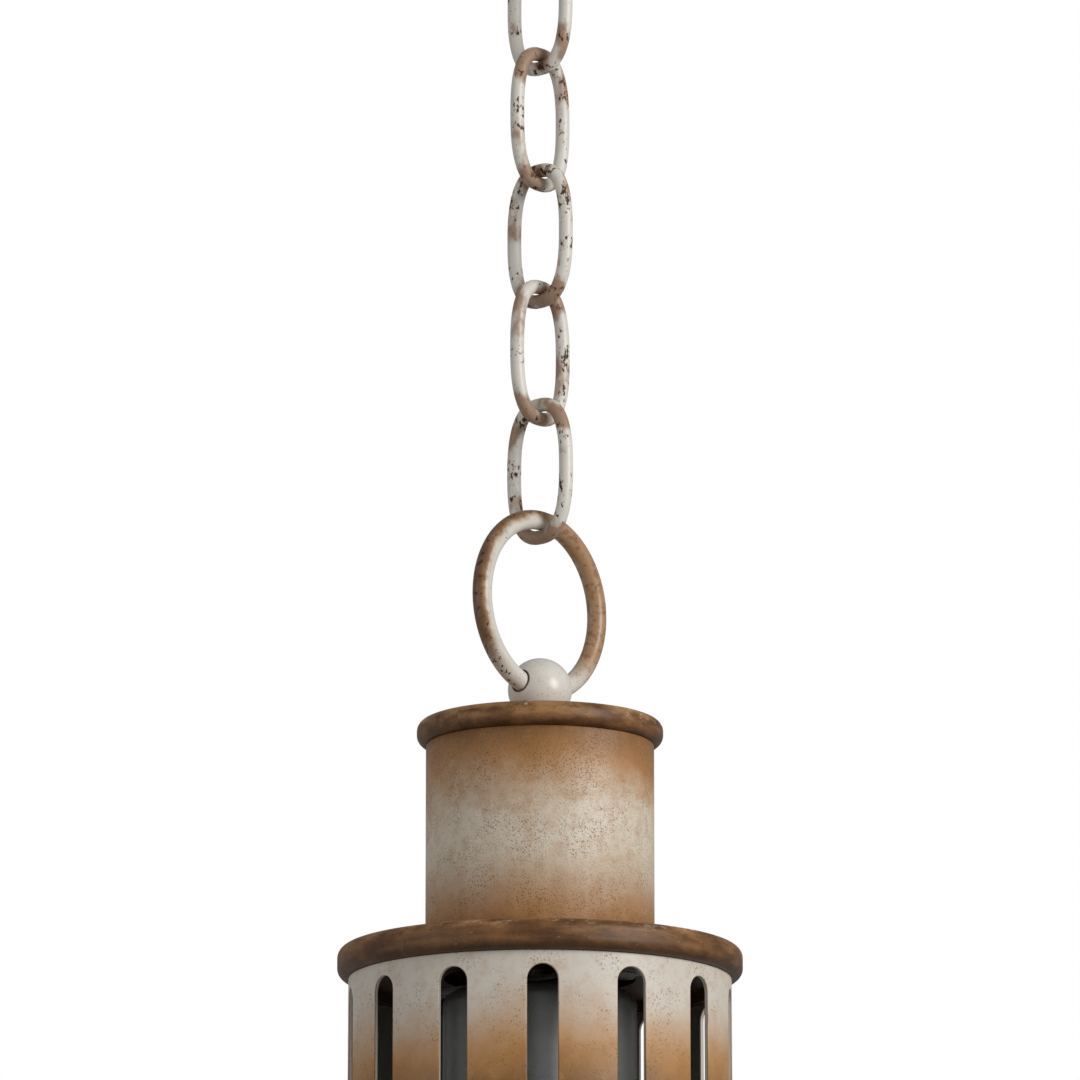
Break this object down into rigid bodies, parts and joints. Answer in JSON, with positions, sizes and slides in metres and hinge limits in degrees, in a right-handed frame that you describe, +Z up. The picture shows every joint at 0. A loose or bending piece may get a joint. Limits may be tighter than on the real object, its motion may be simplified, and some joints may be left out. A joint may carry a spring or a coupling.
{
  "type": "hanging lantern",
  "caption": "Hanging lantern: oval-link chain, ring through a ball, neck and wide flange, slotted vent drum, guarded glass and hinged bottom door.",
  "frame": {"origin": "middle of the ceiling face, between the strap screw holes", "axes": "+Z up to the ceiling; the hanging ring lies in the XZ plane; the door hinge is on the -X side"},
  "size_m": [0.1456, 0.1442, 0.7743],
  "materials": {
    "chain_paint": "worn cream paint over dark steel",
    "ring_paint": "cream paint worn to tan and brown",
    "ball_paint": "aged cream paint, tan at the foot",
    "bronze": "dark bronze-brown with worn lighter spots",
    "neck_paint": "speckled cream paint, tan at both ends",
    "drum_paint": "speckled cream paint, tan at the foot, dark inside",
    "guard_paint": "aged tan paint",
    "zinc": "dull zinc plate",
    "ground_green": "green plated screw",
    "brass": "aged brass",
    "inner_steel": "dark satin steel",
    "rubber": "matt black rubber",
    "glass": "clear glass",
    "bulb_glass": "clear glass",
    "lamp_cap": "rolled screw cap",
    "porcelain": "glazed white porcelain"
  },
  "bodies": {
    "ceiling": {"mounting_strap": "zinc", "ground_screw": "ground_green", "threaded_tube": "zinc", "lock_nut": "zinc", "canopy": "bronze", "collar_nut": "bronze", "canopy_loop": "bronze"},
    "link_1": {"chain_link_1": "chain_paint"},
    "link_2": {"chain_link_2": "chain_paint"},
    "link_3": {"chain_link_3": "chain_paint"},
    "link_4": {"chain_link_4": "chain_paint"},
    "link_5": {"chain_link_5": "chain_paint"},
    "link_6": {"chain_link_6": "chain_paint"},
    "ring": {"hanging_ring": "ring_paint"},
    "door": {"bottom_door": "bronze", "door_catch": "brass", "catch_rivets": "brass", "door_finial": "bronze"},
    "lantern": {"hanging_ball": "ball_paint", "hanger_washer": "zinc", "hanger_nut": "zinc", "top_cap": "bronze", "wire_bush": "rubber", "neck_tube": "neck_paint", "shoulder_flange": "bronze", "vent_drum": "drum_paint", "seam_strip": "inner_steel", "seam_rivets": "brass", "lamp_bracket": "zinc", "bracket_screws": "zinc", "lamp_stem": "zinc", "lamp_cup": "inner_steel", "lamp_holder": "porcelain", "bulb_cap": "lamp_cap", "bulb_glass": "bulb_glass", "lower_flange": "bronze", "upper_gasket": "rubber", "glass_cylinder": "glass", "lower_gasket": "rubber", "guard_rods": "guard_paint", "guard_band": "guard_paint", "base_ring": "bronze", "rod_nuts": "zinc", "door_gasket": "rubber", "hinge_bracket": "bronze", "hinge_screws": "zinc", "hinge_pin": "zinc"}
  },
  "joints": [
    {"name": "link_1_swing", "type": "hinge", "parent": "ceiling", "child": "link_1", "pos_m": [0, 0, -0.073], "axis": [0, 1, 0], "range_deg": [-40, 40]},
    {"name": "link_2_swing", "type": "hinge", "parent": "link_1", "child": "link_2", "pos_m": [0, 0, -0.1168], "axis": [1, 0, 0], "range_deg": [-40, 40]},
    {"name": "link_3_swing", "type": "hinge", "parent": "link_2", "child": "link_3", "pos_m": [0, 0, -0.1606], "axis": [0, -1, 0], "range_deg": [-40, 40]},
    {"name": "link_4_swing", "type": "hinge", "parent": "link_3", "child": "link_4", "pos_m": [0, 0, -0.2044], "axis": [-1, 0, 0], "range_deg": [-40, 40]},
    {"name": "link_5_swing", "type": "hinge", "parent": "link_4", "child": "link_5", "pos_m": [0, 0, -0.2482], "axis": [0, 1, 0], "range_deg": [-40, 40]},
    {"name": "link_6_swing", "type": "hinge", "parent": "link_5", "child": "link_6", "pos_m": [0, 0, -0.292], "axis": [1, 0, 0], "range_deg": [-40, 40]},
    {"name": "ring_swing", "type": "hinge", "parent": "link_6", "child": "ring", "pos_m": [0, 0, -0.3358], "axis": [0, -1, 0], "range_deg": [-40, 40]},
    {"name": "lantern_slide", "type": "hinge", "parent": "ring", "child": "lantern", "pos_m": [0, 0, -0.3607], "axis": [0, 1, 0], "range_deg": [-50, 50]},
    {"name": "door_hinge", "type": "hinge", "parent": "lantern", "child": "door", "pos_m": [-0.0621, 0, -0.7355], "axis": [0, 1, 0], "range_deg": [0, 110]}
  ]
}
